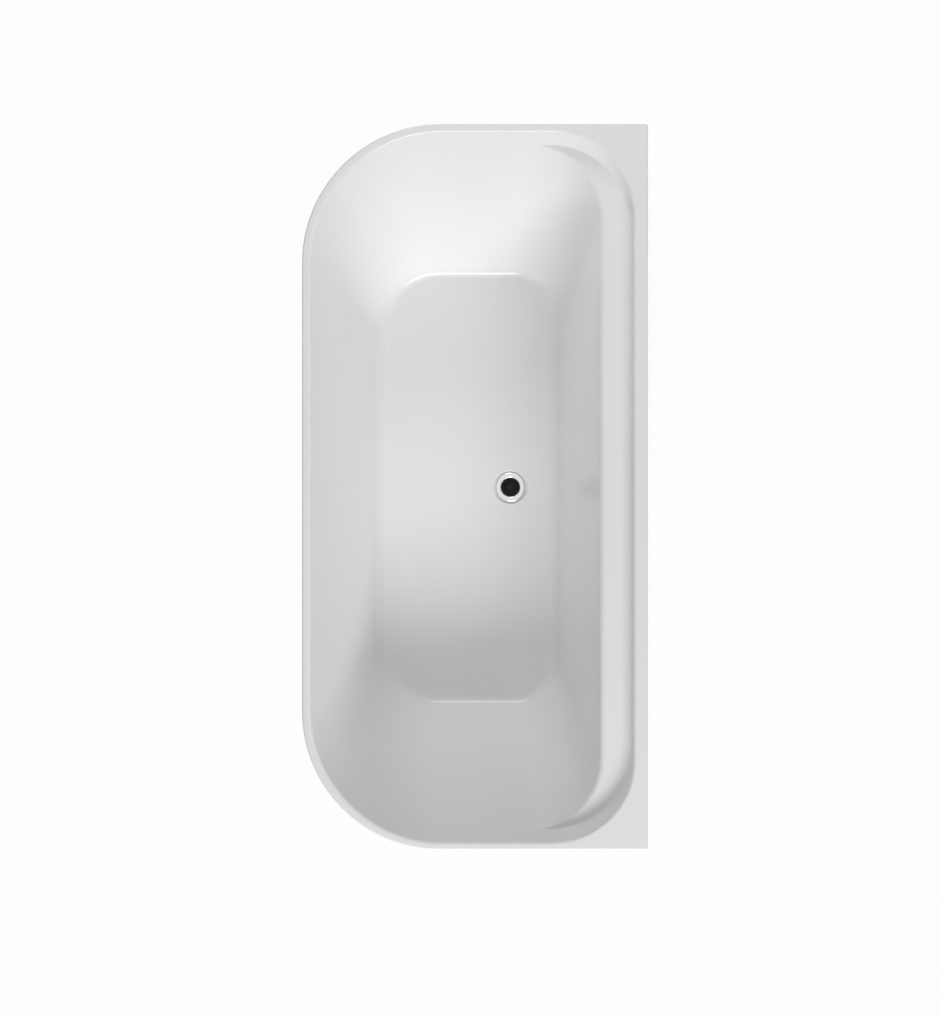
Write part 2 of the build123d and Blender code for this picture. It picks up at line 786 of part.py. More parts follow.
shoulder_z = body_z - trap_cup_seal_height
cup_radius = trap_radius + thread_clearance + trap_wall
with BuildPart() as trap_cup:
    disc(cup_z, body_z + trap_cup_grip, cup_radius, waste_place)
    fillet(trap_cup.edges().group_by(Axis.Z)[0], trap_wall)
    ribs(shoulder_z, body_z + trap_cup_grip, cup_radius, waste_place)
    disc(cup_z + trap_wall, shoulder_z, trap_radius - trap_wall, waste_place, Mode.SUBTRACT)
    disc(shoulder_z, body_z + trap_cup_grip, trap_radius + thread_clearance, waste_place, Mode.SUBTRACT)
finish(trap_cup, "trap_cup")
ring("trap_cup_seal", shoulder_z, body_z, trap_radius, trap_radius - trap_wall)

pipe_length = wall_y - pipe_end_gap - socket_start[1]
collar_start = (0, outlet_end_y + outlet_seal_height + outlet_nut_lip + pipe_collar_gap, outlet_z)
with BuildPart() as outlet_pipe:
    rod(socket_start, (0, 1, 0), pipe_radius, pipe_length)
    rod(collar_start, (0, 1, 0), pipe_collar_radius, pipe_collar_width)
    rod(socket_start, (0, 1, 0), pipe_radius - pipe_wall, pipe_length, Mode.SUBTRACT)
finish(outlet_pipe, "outlet_pipe")
seal_start = (0, outlet_end_y, outlet_z)
with BuildPart() as outlet_seal:
    rod(seal_start, (0, 1, 0), outlet_tube_radius, outlet_seal_height)
    rod(seal_start, (0, 1, 0), pipe_radius, outlet_seal_height, Mode.SUBTRACT)
finish(outlet_seal, "outlet_seal")
nut_start = (0, outlet_end_y - outlet_nut_grip, outlet_z)
nut_length = outlet_nut_grip + outlet_seal_height + outlet_nut_lip
with BuildPart() as outlet_nut:
    rod(nut_start, (0, 1, 0), outlet_nut_radius, nut_length)
    with Locations(Plane(nut_start, z_dir=(0, 1, 0))):
        with PolarLocations(outlet_nut_radius, nut_ribs):
            Cylinder(rib_radius, nut_length, align=(Align.CENTER, Align.CENTER, Align.MIN))
    bore_length = outlet_nut_grip + outlet_seal_height
    rod(nut_start, (0, 1, 0), outlet_tube_radius + thread_clearance, bore_length, Mode.SUBTRACT)
    rod(nut_start, (0, 1, 0), pipe_radius + thread_clearance, nut_length, Mode.SUBTRACT)
finish(outlet_nut, "outlet_nut")
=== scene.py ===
from math import atan2, cos, pi, radians, sin, sqrt, tan

import bmesh
import bpy
from mathutils import Matrix, Vector


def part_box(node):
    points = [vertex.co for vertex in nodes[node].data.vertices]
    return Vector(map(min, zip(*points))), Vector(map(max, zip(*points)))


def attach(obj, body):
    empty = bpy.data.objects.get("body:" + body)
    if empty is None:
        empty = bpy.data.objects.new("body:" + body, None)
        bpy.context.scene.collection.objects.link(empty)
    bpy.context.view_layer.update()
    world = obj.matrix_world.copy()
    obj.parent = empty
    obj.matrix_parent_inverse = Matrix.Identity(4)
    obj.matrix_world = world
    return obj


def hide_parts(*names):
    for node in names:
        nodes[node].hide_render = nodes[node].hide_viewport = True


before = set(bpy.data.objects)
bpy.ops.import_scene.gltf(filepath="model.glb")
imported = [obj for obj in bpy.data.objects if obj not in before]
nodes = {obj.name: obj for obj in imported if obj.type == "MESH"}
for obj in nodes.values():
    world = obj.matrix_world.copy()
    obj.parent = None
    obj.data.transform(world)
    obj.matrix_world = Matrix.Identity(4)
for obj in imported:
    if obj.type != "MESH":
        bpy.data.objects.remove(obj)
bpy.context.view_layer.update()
scene = bpy.context.scene
print("frame loaded:", len(nodes), "solids")


# shader maths
class Wire:
    # a node's output that takes part in plain sums
    def __init__(self, paint, socket):
        self.paint = paint
        self.socket = socket

    def reckon(self, operation, first, second=0.0):
        return self.paint.node("ShaderNodeMath", {"operation": operation}, {0: first, 1: second})

    def __add__(self, other):
        return self.reckon("ADD", self, other)

    def __radd__(self, other):
        return self.reckon("ADD", other, self)

    def __sub__(self, other):
        return self.reckon("SUBTRACT", self, other)

    def __rsub__(self, other):
        return self.reckon("SUBTRACT", other, self)

    def __mul__(self, other):
        return self.reckon("MULTIPLY", self, other)

    def __rmul__(self, other):
        return self.reckon("MULTIPLY", other, self)


class Paint:
    # the nodes of one material, or of the sky, made by asking for them
    def __init__(self, owner, end="ShaderNodeOutputMaterial"):
        owner.use_nodes = True
        self.owner = owner
        self.tree = owner.node_tree
        self.tree.nodes.clear()
        self.out = self.tree.nodes.new(end)
        self.spot = self.node("ShaderNodeTexCoord", output="Object")

    def node(self, kind, settings=None, inputs=None, output=0):
        made = self.tree.nodes.new(kind)
        for key, value in (settings or {}).items():
            if key == "stops":
                ramp = made.color_ramp.elements
                while len(ramp) < len(value):
                    ramp.new(0.5)
                for stop, (where, tone) in zip(ramp, value):
                    stop.position = where
                    stop.color = (*tone, 1)
            else:
                setattr(made, key, value)
        for key, value in (inputs or {}).items():
            if isinstance(value, Wire):
                self.tree.links.new(value.socket, made.inputs[key])
            else:
                made.inputs[key].default_value = value
        return Wire(self, made.outputs[output])

    def mapped(self, scale=(1, 1, 1), turn=(0, 0, 0), move=(0, 0, 0), style="POINT"):
        values = {"Vector": self.spot, "Scale": scale, "Rotation": turn, "Location": move}
        return self.node("ShaderNodeMapping", {"vector_type": style}, values)

    def noise(self, scale, detail=3.0, rough=0.5, where=None):
        values = {"Vector": where or self.spot, "Scale": scale, "Detail": detail, "Roughness": rough}
        return self.node("ShaderNodeTexNoise", None, values, "Fac")

    def cells(self, scale, output="Distance", where=None):
        values = {"Vector": where or self.spot, "Scale": scale}
        return self.node("ShaderNodeTexVoronoi", None, values, output)

    def spread(self, value, low, high, fromLow=0.0, fromHigh=1.0):
        # moves a value from one range into another, held at its ends
        limits = {"From Min": fromLow, "From Max": fromHigh, "To Min": low, "To Max": high}
        return self.node("ShaderNodeMapRange", {"clamp": True}, {"Value": value, **limits})

    def blend(self, share, first, second):
        picked = {0: share, 6: (*first, 1) if isinstance(first, tuple) else first}
        picked[7] = (*second, 1) if isinstance(second, tuple) else second
        return self.node("ShaderNodeMix", {"data_type": "RGBA"}, picked, 2)

    def tones(self, value, stops):
        return self.node("ShaderNodeValToRGB", {"stops": stops}, {"Fac": value}, "Color")

    def bump(self, height, strength, distance, under=None):
        values = {"Height": height, "Strength": strength, "Distance": distance}
        if under:
            values["Normal"] = under
        return self.node("ShaderNodeBump", None, values, "Normal")

    def highest(self, first, second):
        return self.node("ShaderNodeMath", {"operation": "MAXIMUM"}, {0: first, 1: second})

    def seenStraight(self):
        # 1 for rays that show the studio as it is, 0 for those that carry light about
        share = 0.0
        for kind in ("Is Camera Ray", "Is Glossy Ray", "Is Transmission Ray"):
            share = self.highest(share, self.node("ShaderNodeLightPath", output=kind))
        return share

    def close(self, shader):
        self.tree.links.new(shader.socket, self.out.inputs["Surface"])
        return self.owner

    def surface(self, values):
        return self.close(self.node("ShaderNodeBsdfPrincipled", None, values, "BSDF"))


def newLook(name):
    return Paint(bpy.data.materials.new(name))


# finishes
def makeAcrylic(name):
    # cast sheet, polished: a trace of orange peel and faint cloudiness
    look = newLook(name)
    cloud = look.noise(2.2, 2.0)
    peel = look.noise(95.0, 2.0, 0.4)
    wipe = look.noise(9.0, 4.0, 0.6, look.mapped((1.0, 2.6, 1.0), (0, 0, 0.5)))
    return look.surface({
        "Base Color": look.blend(cloud, (0.866, 0.867, 0.868), (0.851, 0.852, 0.853)),
        "Roughness": look.spread(wipe, 0.2, 0.27, 0.3, 0.7),
        "Normal": look.bump(peel, 0.045, 0.0006),
        "IOR": 1.49,
    })


def makeLaminate():
    # chopped glass strands rolled into resin on the back of the sheet
    look = newLook("glassLaminate")
    strands = None
    for number, turn in enumerate((0.2, 0.9, 1.7, 2.5)):
        turned, shifted = (0.3, turn, 1.3 * turn), (number * 3.1, 0, 0)
        along = look.mapped((1.0, 0.08, 0.08), turned, shifted, "TEXTURE")
        lane = look.spread(look.noise(24.0, 2.0, 0.5, along), 0.0, 1.0, 0.56, 0.66)
        strands = lane if strands is None else look.highest(strands, lane)
    resin = look.noise(14.0, 5.0, 0.6)
    tone = look.blend(strands, (0.56, 0.555, 0.50), (0.74, 0.735, 0.69))
    tone = look.blend(look.spread(resin, 0.0, 0.35, 0.45, 0.75), tone, (0.42, 0.41, 0.35))
    return look.surface({
        "Base Color": tone,
        "Roughness": look.spread(resin, 0.32, 0.62, 0.3, 0.7),
        "Normal": look.bump(strands * 0.7 + resin, 0.6, 0.0012),
    })


def makeBoard():
    # pressed wood chips with darker flakes
    look = newLook("chipBoard")
    chips = look.cells(150.0, output="Color", where=look.mapped((1.0, 1.8, 1.0), (0, 0, 0.6)))
    fine = look.noise(260.0, 4.0, 0.7)
    pick = look.node("ShaderNodeSeparateColor", None, {"Color": chips}, "Red")
    tone = look.tones(pick * 0.75 + fine * 0.3, [
        (0.0, (0.27, 0.18, 0.095)),
        (0.25, (0.47, 0.34, 0.19)),
        (0.6, (0.62, 0.475, 0.29)),
        (1.0, (0.76, 0.63, 0.43)),
    ])
    return look.surface({
        "Base Color": tone,
        "Roughness": look.spread(fine, 0.68, 0.9, 0.3, 0.7),
        "Normal": look.bump(pick * 0.6 + fine, 0.35, 0.0007),
    })


def makeGalvanised():
    # hot-dip zinc: crystals of different grey, with dull patches
    look = newLook("galvanisedSteel")
    crystal = look.cells(120.0, output="Color", where=look.mapped((1.0, 1.3, 1.0), (0.3, 0.1, 0.2)))
    grey = look.node("ShaderNodeSeparateColor", None, {"Color": crystal}, "Green")
    dull = look.noise(18.0, 5.0, 0.65)
    grain = look.noise(700.0, 2.0)
    tone = look.tones(grey, [
        (0.0, (0.46, 0.47, 0.49)),
        (0.5, (0.60, 0.615, 0.63)),
        (1.0, (0.74, 0.755, 0.77)),
    ])
    tone = look.blend(look.spread(dull, 0.0, 0.55, 0.5, 0.8), tone, (0.50, 0.505, 0.51))
    return look.surface({
        "Base Color": tone,
        "Metallic": look.spread(dull, 1.0, 0.8, 0.5, 0.8),
        "Roughness": look.spread(grey * 0.5 + dull * 0.6, 0.26, 0.55, 0.2, 0.8),
        "Normal": look.bump(grey * 0.25 + grain * 0.4, 0.22, 0.0005),
    })


def makeZinc():
    # bright zinc plating with its faint blue and straw tints
    look = newLook("zincPlate")
    tint = look.noise(60.0, 3.0, 0.6)
    grain = look.noise(900.0, 3.0)
    tone = look.tones(tint, [
        (0.3, (0.62, 0.65, 0.71)),
        (0.5, (0.72, 0.73, 0.74)),
        (0.7, (0.75, 0.73, 0.66)),
    ])
    return look.surface({
        "Base Color": tone,
        "Metallic": 1.0,
        "Roughness": look.spread(grain, 0.2, 0.36, 0.3, 0.7),
        "Normal": look.bump(grain, 0.12, 0.0003),
    })


def makePlastic(name, tone, shade, low, high, grainScale, grainDepth):
    # moulded plastic with a spark-eroded grain
    look = newLook(name)
    flow = look.noise(30.0, 4.0, 0.6)
    grain = look.noise(grainScale, 2.0, 0.55)
    return look.surface({
        "Base Color": look.blend(look.spread(flow, 0.0, 1.0, 0.3, 0.7), tone, shade),
        "Roughness": look.spread(flow * 0.5 + grain * 0.5, low, high, 0.35, 0.65),
        "Normal": look.bump(grain, grainDepth, 0.0004),
    })


def makePlugBlack():
    # matt black coat over turned brass, with painted light: coloured lighter in the middle and darker
    # toward the edge
    look = newLook("mattBlackCoat")
    cloud = look.noise(140.0, 4.0, 0.6)
    grain = look.noise(1500.0, 2.0)
    ends = {0: look.spot, 1: wasteSpot}
    out = look.node("ShaderNodeVectorMath", {"operation": "DISTANCE"}, ends, "Value")
    # painted light: lighter in the middle of the cap, fading to painted shade toward its edge
    paintedLightMiddle = look.spread(out + cloud * 0.004, 1.0, 0.0, 0.003, 0.016)
    return look.surface({
        "Base Color": look.blend(paintedLightMiddle, (0.007, 0.0072, 0.0075), (0.017, 0.0172, 0.018)),
        "Roughness": look.spread(cloud, 0.5, 0.62, 0.3, 0.7),
        "Specular IOR Level": 0.12,
        "Normal": look.bump(grain, 0.1, 0.0002),
    })


def makeChrome():
    # polished chrome with dried water marks
    look = newLook("polishedChrome")
    film = look.noise(110.0, 5.0, 0.6)
    marks = look.spread(look.cells(170.0), 1.0, 0.0, 0.30, 0.36)
    edge = look.spread(look.cells(170.0), 0.0, 1.0, 0.26, 0.31) * marks
    return look.surface({
        "Base Color": look.blend(film, (0.71, 0.715, 0.725), (0.76, 0.765, 0.77)),
        "Metallic": 1.0,
        "Roughness": look.spread(film, 0.11, 0.19, 0.35, 0.7) + edge * 0.06,
    })


def makeTurnedMetal(name, tone, shade, low, high):
    # lathe-turned metal: fine rings up its length
    look = newLook(name)
    rings = look.node("ShaderNodeTexWave", {"bands_direction": "Z"}, {
        "Vector": look.spot, "Scale": 420.0, "Distortion": 1.2, "Detail": 2.0,
    }, "Fac")
    film = look.noise(90.0, 4.0, 0.6)
    return look.surface({
        "Base Color": look.blend(film, tone, shade),
        "Metallic": 1.0,
        "Roughness": look.spread(film * 0.6 + rings * 0.4, low, high, 0.25, 0.75),
        "Normal": look.bump(rings, 0.12, 0.0002),
    })


def makeRubber():
    # soft seal with a dusty bloom
    look = newLook("sealRubber")
    bloom = look.noise(45.0, 5.0, 0.65)
    grain = look.noise(1100.0, 2.0)
    dusty = look.spread(bloom, 0.0, 1.0, 0.4, 0.75)
    return look.surface({
        "Base Color": look.blend(dusty, (0.022, 0.022, 0.023), (0.06, 0.06, 0.058)),
        "Roughness": look.spread(bloom, 0.6, 0.82, 0.3, 0.7),
        "Normal": look.bump(grain, 0.2, 0.0003),
    })


wasteLow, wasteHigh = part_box("waste_flange")
wastePlace = ((wasteLow.x + wasteHigh.x) / 2, (wasteLow.y + wasteHigh.y) / 2)
wasteSpot = (*wastePlace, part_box("plug_cap")[1].z)
blackTones = ((0.022, 0.022, 0.024), (0.034, 0.034, 0.036))
whiteTones = ((0.80, 0.80, 0.785), (0.76, 0.76, 0.74))

finish = {
    "shell": makeAcrylic("whiteAcrylic"),
    "skirt": makeAcrylic("whiteAcrylicSkirt"),
    "laminate": makeLaminate(),
    "board": makeBoard(),
    "galvanised": makeGalvanised(),
    "zinc": makeZinc(),
    "black": makePlastic("blackPlastic", *blackTones, 0.36, 0.52, 1300.0, 0.3),
    "white": makePlastic("whitePlastic", *whiteTones, 0.28, 0.42, 800.0, 0.12),
    "plug": makePlugBlack(),
    "chrome": makeChrome(),
    "brass": makeTurnedMetal("turnedBrass", (0.70, 0.53, 0.27), (0.78, 0.62, 0.35), 0.2, 0.38),
    "steel": makeTurnedMetal("drawnSteel", (0.52, 0.53, 0.55), (0.62, 0.63, 0.65), 0.18, 0.34),
    "rubber": makeRubber(),
}
print("finishes made:", len(finish))


# making pieces
mergeReach = 1e-6


def addPiece(name, bm, body, finishes, standsFor, sharp, weighted=False):
    mesh = bpy.data.meshes.new(name)
    bm.to_mesh(mesh)
    bm.free()
    mesh.shade_smooth()
    mesh.set_sharp_from_angle(angle=radians(sharp))
    piece = bpy.data.objects.new(name, mesh)
    scene.collection.objects.link(piece)
    for one in finishes:
        mesh.materials.append(finish[one])
    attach(piece, body)
    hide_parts(standsFor)
    if weighted:
        normals = piece.modifiers.new("flatFaces", "WEIGHTED_NORMAL")
        normals.keep_sharp = True


def addRing(bm, z, half, front, back, frontRadius, backRadius, steps):
    # a level outline whose four corners are rounded by vertex bevels
    known = set(bm.edges)
    spots = ((-half, front, z), (half, front, z), (half, back, z), (-half, back, z))
    corners = [bm.verts.new(spot) for spot in spots]
    for start, end in zip(corners, corners[1:] + corners[:1]):
        bm.edges.new((start, end))
    for pair, radius in ((corners[:2], frontRadius), (corners[2:], backRadius)):
        roundVertices(bm, pair, radius, steps)
    return [edge for edge in bm.edges if edge not in known]


def roundVertices(bm, corners, radius, steps):
    bmesh.ops.bevel(
        bm, geom=list(corners), offset=radius, offset_type="OFFSET", segments=steps,
        profile=0.5, affect="VERTICES", material=-1,
    )


def addCircle(bm, z, radius, count, place):
    there = Matrix.Translation((*place, z))
    made = bmesh.ops.create_circle(bm, segments=count, radius=radius, matrix=there)
    return list({edge for vert in made["verts"] for edge in vert.link_edges})


def bridgePair(bm, one, other):
    # the second outline is held away while it is joined, so that level pairs don't twist
    held = list({vert for edge in other for vert in edge.verts})
    bmesh.ops.translate(bm, verts=held, vec=(0, 0, 1))
    made = bmesh.ops.bridge_loops(bm, edges=list(one) + list(other))
    bmesh.ops.translate(bm, verts=held, vec=(0, 0, -1))
    return made["faces"]


def bridgeAll(bm, loops, inks=None):
    # joins each outline to the next and the last to the first; inks gives each band's material
    before = set(bm.faces)
    for number, pair in enumerate(zip(loops, loops[1:] + loops[:1])):
        for face in bridgePair(bm, *pair):
            face.material_index = inks[number] if inks else 0
    bmesh.ops.recalc_face_normals(bm, faces=[face for face in bm.faces if face not in before])


def addTurned(bm, profile, place, steps):
    # spins a line of (radius, height) points into a closed round body about an upright axis
    verts = [bm.verts.new((place[0] + radius, place[1], height)) for radius, height in profile]
    edges = [bm.edges.new(pair) for pair in zip(verts, verts[1:])]
    if profile[0][0] > mergeReach:
        edges.append(bm.edges.new((verts[-1], verts[0])))
    bmesh.ops.spin(
        bm, geom=verts + edges, cent=(*place, 0), axis=(0, 0, 1), angle=2 * pi,
        steps=steps, use_merge=True, use_duplicate=False,
    )
    bmesh.ops.remove_doubles(bm, verts=bm.verts, dist=mergeReach)
    bmesh.ops.recalc_face_normals(bm, faces=bm.faces)


def addBar(bm, low, high, place, angle, shear=0.0):
    # a box between two corners, turned about an upright axis; shear lowers its outer top edge
    turn = Matrix.Translation((*place, 0)) @ Matrix.Rotation(angle, 4, "Z")
    for vert in bmesh.ops.create_cube(bm, size=1.0)["verts"]:
        spot = Vector([high[axis] if vert.co[axis] > 0 else low[axis] for axis in range(3)])
        if vert.co.x > 0 and vert.co.z > 0:
            spot.z -= shear
        vert.co = turn @ spot


# bath shell
bath = {
    "length": 1.700, "width": 0.810, "height": 0.580,
    "frontCorner": 0.325, "backCorner": 0.006, "leastCorner": 0.001,
    "rimFlat": 0.012, "deck": 0.025, "rimThickness": 0.006, "rimEdge": 0.004, "rimRoll": 0.009,
    "lipHeight": 0.020, "lipThickness": 0.005,
    # the lip's lower edge: height and inset of each outline
    "lipEdge": ((0.0010, 0.0), (0.0003, 0.0003), (0.0, 0.0010)),
    "depth": 0.425, "endRun": 0.328, "frontRun": 0.160,
    "endFillet": 0.024, "frontFillet": 0.045, "backFillet": 0.035,
    "openingBackRadius": 0.200, "floorFrontRadius": 0.140, "floorBackRadius": 0.097,
    "shelfDepth": 0.040, "shelfFall": 0.0015, "shelfWidth": 0.074,
    "upperRun": 0.002, "lowerRun": 0.103, "shelfFillet": 0.012, "shelfEdge": 0.015,
    "shelfBackCorner": 0.190, "shelfFrontCorner": 0.170,
    "sideGrowth": 0.006, "floorGrowth": 0.010,
    "recessRadius": 0.039, "recessDepth": 0.004, "holeRadius": 0.025,
    # the recess's soft lip: steps out from its radius and up from its seat
    "recessLip": (
        (-0.0016, 0.0), (-0.0006, 0.0003), (-0.0001, 0.0012), (0.0, 0.0026),
        (0.0006, 0.0035), (0.0016, 0.0039), (0.0028, 0.004),
    ),
    "cornerSteps": 26, "arcSteps": 10, "edgeSteps": 6,
}
wallY = bath["width"] / 2
rimBack = wallY - bath["deck"]
rimFront = -wallY + bath["rimFlat"]
shelfBack = rimBack - bath["rimRoll"] - bath["upperRun"]
shelfFront = shelfBack - bath["shelfWidth"]
floorBack = shelfFront - bath["lowerRun"]
floorZ = bath["height"] - bath["depth"]
lipZ = bath["height"] - bath["lipHeight"]


def between(start, end, share):
    return start + (end - start) * share


def straightInset(depth, run):
    slope = atan2(bath["depth"], run)
    return bath["rimRoll"] * tan(slope / 2) + run * depth / bath["depth"]


def wallInset(depth, run, fillet):
    # how far a wall stands in from the rim: its roll, its slope and its foot
    slope, roll = atan2(bath["depth"], run), bath["rimRoll"]
    if depth < roll * (1 - cos(slope)):
        return sqrt(max(roll**2 - (roll - depth) ** 2, 0))
    if depth > bath["depth"] - fillet * (1 - cos(slope)):
        drop = depth - (bath["depth"] - fillet)
        toe = sqrt(max(fillet**2 - drop**2, 0))
        return straightInset(bath["depth"], run) + fillet * tan(slope / 2) - toe
    return straightInset(depth, run)


def wallLevels(steps):
    # heights and places down the wall side, where straight runs meet in arcs
    top = bath["height"]
    upperSlope = atan2(bath["shelfDepth"], bath["upperRun"])
    corners = [Vector(spot) for spot in (
        (wallY, top),
        (rimBack - bath["rimRoll"] * tan(upperSlope / 2), top),
        (shelfBack, top - bath["shelfDepth"]),
        (shelfFront, top - bath["shelfDepth"] - bath["shelfFall"]),
        (floorBack, floorZ),
        (0, floorZ),
    )]
    radii = [bath[key] for key in ("rimRoll", "shelfFillet", "shelfEdge", "backFillet")]
    levels = []
    for before, at, after, radius in zip(corners, corners[1:], corners[2:], radii):
        inward, onward = (before - at).normalized(), (after - at).normalized()
        turn = pi - inward.angle(onward)
        middle = at + (inward + onward).normalized() * radius / cos(turn / 2)
        start = at + inward * radius * tan(turn / 2) - middle
        end = at + onward * radius * tan(turn / 2) - middle
        square = (end - start * cos(turn)) / sin(turn)
        for step in range(steps + 1):
            angle = turn * step / steps
            spot = middle + start * cos(angle) + square * sin(angle)
            levels.append((min(spot.y, top), spot.x))
    return levels


def basinRing(bm, level, grow=0.0, down=0.0):
    z, back = level
    depth = bath["height"] - z
    share = depth / bath["depth"]
    ends = wallInset(depth, bath["endRun"], bath["endFillet"])
    front = wallInset(depth, bath["frontRun"], bath["frontFillet"])
    frontRadius = between(bath["frontCorner"] - bath["rimFlat"], bath["floorFrontRadius"], share)
    frontRadius -= max(front - straightInset(depth, bath["frontRun"]), 0) / 2
    if back > shelfBack:
        across = (back - shelfBack) / (rimBack - shelfBack)
        radii = ("shelfBackCorner", "openingBackRadius")
    elif back > shelfFront:
        across = (back - shelfFront) / (shelfBack - shelfFront)
        radii = ("shelfFrontCorner", "shelfBackCorner")
    else:
        across = (shelfFront - back) / (shelfFront - floorBack)
        radii = ("shelfFrontCorner", "floorBackRadius")
    backRadius = between(bath[radii[0]], bath[radii[1]], across)
    half = bath["length"] / 2 - bath["rimFlat"] - ends + grow
    return addRing(
        bm, z - down, half, rimFront + front - grow, back + grow,
        frontRadius + grow, backRadius + grow, bath["cornerSteps"],
    )


def rimRing(bm, z, inset):
    return addRing(
        bm, z, bath["length"] / 2 - inset, -wallY + inset, wallY - inset, bath["frontCorner"] - inset,
        max(bath["backCorner"] - inset, bath["leastCorner"]), bath["cornerSteps"],
    )


def makeShell():
    bm = bmesh.new()
    around = 4 * (bath["cornerSteps"] + 1)
    top, edge, hole = bath["height"], bath["rimEdge"], bath["holeRadius"]
    bowl, sink = bath["recessRadius"], floorZ - bath["recessDepth"]
    # the waste hole and the round recess about it: a flat seat with a soft lip
    rounds = [(floorZ - bath["floorGrowth"], hole), (sink, hole)]
    rounds += [(sink + up, bowl + out) for out, up in bath["recessLip"]]
    loops = [addCircle(bm, z, radius, around, wastePlace) for z, radius in rounds]
    # up the basin's walls, over the rim and down its lip
    levels = wallLevels(bath["arcSteps"])
    loops += [basinRing(bm, level) for level in reversed(levels)]
    for step in range(bath["edgeSteps"] + 1):
        angle = pi / 2 * step / bath["edgeSteps"]
        loops.append(rimRing(bm, top - edge * (1 - cos(angle)), edge * (1 - sin(angle))))
    loops += [rimRing(bm, lipZ + up, inset) for up, inset in bath["lipEdge"]]
    shown = len(loops)
    # back under the rim and down the outside
    inside, grow, down = bath["lipThickness"], bath["sideGrowth"], bath["floorGrowth"]
    loops += [rimRing(bm, z, inside) for z in (lipZ, top - bath["rimThickness"])]
    loops.append(basinRing(bm, levels[0], grow, bath["rimThickness"]))
    loops += [basinRing(bm, level, grow, down) for level in levels]
    inks = [0] * (shown - 1) + [1] * (len(loops) - shown + 1)
    inks[0] = 1
    bridgeAll(bm, loops, inks)
    finishes = ("shell", "laminate")
    addPiece("bathShell", bm, "root", finishes, "bath_shell", 38, True)


makeShell()
print("bath shell made")


# outer skirt
skirt = {
    "thickness": 0.005, "taper": 0.045, "floorGap": 0.005, "return": 0.040,
    "flange": 0.020, "flangeThickness": 0.005, "cornerSteps": 26, "squareSteps": 5,
    # its top edge: steps down and in
    "topEdge": ((0.0, 0.0010), (0.0003, 0.0003), (0.0010, 0.0)),
    # its foot: steps up, in and away from the wall
    "footEdge": ((0.0020, 0.0, 0.0), (0.0006, 0.0006, 0.0), (0.0, 0.0020, 0.0010)),
    # the hollow between flange and wall: steps up and in
    "fillet": ((0.0, 0.003), (0.001, 0.001), (0.003, 0.0)),
}


def skirtChain(bm, z, inset, fromWall):
    # an outline open at the wall, with a narrow return at each wall edge
    taper = skirt["taper"] * (lipZ - z) / (lipZ - skirt["floorGap"])
    half, front = bath["length"] / 2 - taper - inset, -wallY + taper + inset
    back, end = wallY - fromWall, bath["length"] / 2 - skirt["return"] - taper
    spots = ((-end, back), (-half, back), (-half, front), (half, front), (half, back), (end, back))
    known = set(bm.edges)
    verts = [bm.verts.new((*spot, z)) for spot in spots]
    for pair in zip(verts, verts[1:]):
        bm.edges.new(pair)
    square = max(bath["backCorner"] - fromWall, bath["leastCorner"])
    roundVertices(bm, verts[2:4], bath["frontCorner"] - taper - inset, skirt["cornerSteps"])
    roundVertices(bm, (verts[1], verts[4]), square, skirt["squareSteps"])
    return [edge for edge in bm.edges if edge not in known]


def makeSkirt():
    bm = bmesh.new()
    low, wall, flange = skirt["floorGap"], skirt["thickness"], skirt["thickness"] + skirt["flange"]
    ledge = low + skirt["flangeThickness"]
    stations = [(lipZ - down, inset, inset) for down, inset in skirt["topEdge"]]
    stations += [(low + up, inset, away) for up, inset, away in skirt["footEdge"]]
    shown = len(stations)
    stations += [(low, flange, flange), (ledge, flange, flange)]
    stations += [(ledge + up, wall + inset, wall + inset) for up, inset in skirt["fillet"]]
    stations.append((lipZ, wall, wall))
    loops = [skirtChain(bm, *station) for station in stations]
    bridgeAll(bm, loops, [0] * shown + [1] * (len(stations) - shown))
    bmesh.ops.holes_fill(bm, edges=[edge for edge in bm.edges if edge.is_boundary], sides=0)
    bmesh.ops.recalc_face_normals(bm, faces=bm.faces)
    finishes = ("skirt", "laminate")
    addPiece("outerSkirt", bm, "root", finishes, "outer_skirt", 38, True)


makeSkirt()
print("outer skirt made")


# waste flange and push plug
waste = {
    "flangeRadius": 0.035, "flangeThickness": 0.003, "steps": 96,
    "seatRadius": 0.023, "seatDepth": 0.003, "seatEdge": 0.0004,
    # the seat's lip and the flange's rim: steps across and down from the top
    "lip": ((0.0, 0.0014), (0.0003, 0.0006), (0.0010, 0.0001), (0.0020, 0.0)),
    "rim": ((0.0048, 0.0001), (0.0026, 0.0005), (0.0011, 0.0012), (0.0003, 0.0021)),
    "tailRadius": 0.0239, "tailBore": 0.020, "tailEdge": 0.0006,
    "threadPitch": 0.0021, "threadDepth": 0.0009, "threadTooth": (0.35, 0.5, 0.85),
    "threadStart": 0.003, "threadEnd": 0.001,
    "arms": 3, "armWidth": 0.004, "armDrop": 0.014, "armHeight": 0.006,
    "armRoots": (0.0004, 0.0006),
    "hubRadius": 0.009, "hubBore": 0.00605, "hubEdge": 0.0005, "hubSteps": 48,
}
plug = {
    "radius": 0.02225, "crown": 0.0006, "edge": 0.0008, "edgeSteps": 4, "footEdge": 0.0003,
    "crownShares": (0.0, 0.25, 0.5, 0.72, 0.88),
}


